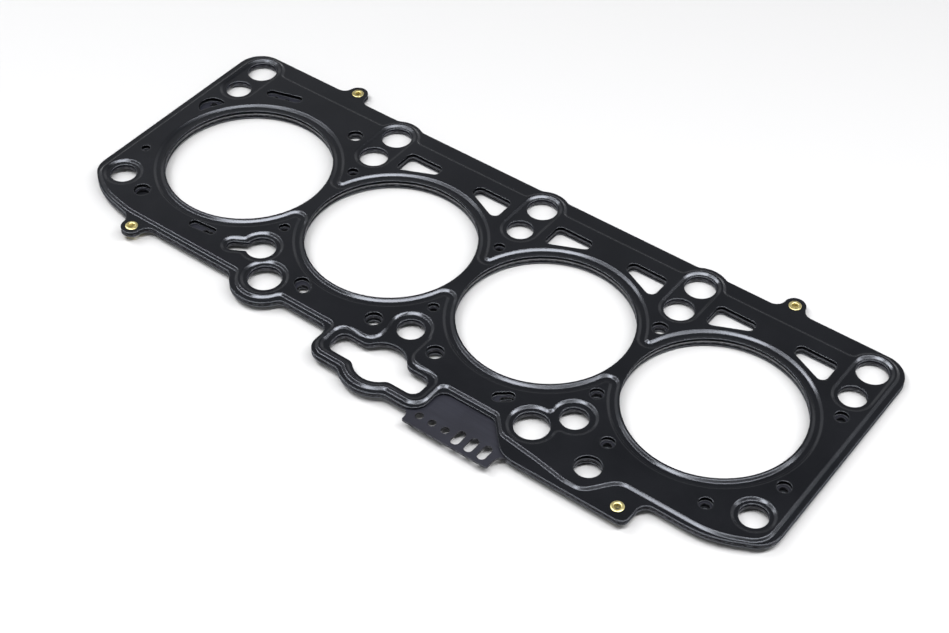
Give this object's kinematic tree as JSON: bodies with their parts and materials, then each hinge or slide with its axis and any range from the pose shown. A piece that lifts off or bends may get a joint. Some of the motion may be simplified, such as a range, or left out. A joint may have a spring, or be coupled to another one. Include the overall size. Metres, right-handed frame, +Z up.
{
  "type": "cylinder head gasket",
  "caption": "Flat multi-layer steel cylinder head gasket with beaded coated sheets, a tabbed carrier, open bores, bolt and coolant holes, and brass eyelets.",
  "frame": {"origin": "on the underside, midway between bores 2 and 3 and between the two rows of bolts", "axes": "+X along the row of bores, +Y to the back edge, +Z up towards the cylinder head"},
  "size_m": [0.3804, 0.1656, 0.0046],
  "materials": {
    "coated_steel": "satin black rubber coating on spring steel",
    "carrier_steel": "dull dark rolled steel",
    "stopper_steel": "bright rolled steel strip",
    "eyelet_brass": "bright pressed brass"
  },
  "bodies": {
    "root": {"carrier_layer": "carrier_steel", "top_bead_layer": "coated_steel", "upper_bead_layer": "coated_steel", "lower_bead_layer": "coated_steel", "stopper_ring_1": "stopper_steel", "stopper_ring_2": "stopper_steel", "stopper_ring_3": "stopper_steel", "stopper_ring_4": "stopper_steel", "eyelet_back_left": "eyelet_brass", "eyelet_back_right": "eyelet_brass", "eyelet_front_left": "eyelet_brass", "eyelet_front_right": "eyelet_brass"}
  },
  "joints": []
}
